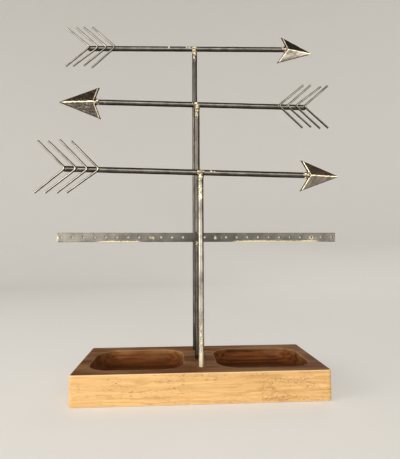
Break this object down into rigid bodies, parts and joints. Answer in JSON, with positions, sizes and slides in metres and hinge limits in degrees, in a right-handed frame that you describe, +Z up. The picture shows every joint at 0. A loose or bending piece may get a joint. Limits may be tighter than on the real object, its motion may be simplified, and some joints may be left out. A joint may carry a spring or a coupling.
{
  "type": "jewelry stand",
  "caption": "Free-standing jewelry stand: scooped hardwood base, steel posts carrying welded arrow bars for necklaces, and a drilled strip for earrings.",
  "frame": {"origin": "centre of the wooden block's underside", "axes": "+Z up, +X to the right, the front faces -Y"},
  "size_m": [0.3236, 0.114, 0.4248],
  "materials": {
    "wood": "oiled hardwood, satin",
    "blackened_iron": "blackened rod, rubbed on its high spots",
    "worn_sheet": "blackened sheet, worn along its ridge and edges",
    "gunmetal_strip": "gunmetal strip with rubbed edges",
    "weld_metal": "lumpy weld, rubbed to a dull gold",
    "zinc_fastener": "zinc plated"
  },
  "bodies": {
    "root": {"wood_base": "wood", "front_post": "blackened_iron", "middle_post": "blackened_iron", "rear_post": "blackened_iron", "post_washers": "zinc_fastener", "post_nuts": "zinc_fastener", "earring_bar": "gunmetal_strip", "earring_bar_weld": "weld_metal", "front_arrow_shaft": "blackened_iron", "front_arrow_head": "worn_sheet", "front_arrow_vane_1": "blackened_iron", "front_arrow_vane_2": "blackened_iron", "front_arrow_vane_3": "blackened_iron", "front_arrow_vane_4": "blackened_iron", "front_arrow_post_weld": "weld_metal", "front_arrow_head_weld": "weld_metal", "front_arrow_vane_welds": "weld_metal", "middle_arrow_shaft": "blackened_iron", "middle_arrow_head": "worn_sheet", "middle_arrow_vane_1": "blackened_iron", "middle_arrow_vane_2": "blackened_iron", "middle_arrow_vane_3": "blackened_iron", "middle_arrow_vane_4": "blackened_iron", "middle_arrow_post_weld": "weld_metal", "middle_arrow_head_weld": "weld_metal", "middle_arrow_vane_welds": "weld_metal", "top_arrow_shaft": "blackened_iron", "top_arrow_head": "worn_sheet", "top_arrow_vane_1": "blackened_iron", "top_arrow_vane_2": "blackened_iron", "top_arrow_vane_3": "blackened_iron", "top_arrow_vane_4": "blackened_iron", "top_arrow_post_weld": "weld_metal", "top_arrow_head_weld": "weld_metal", "top_arrow_vane_welds": "weld_metal"}
  },
  "joints": []
}
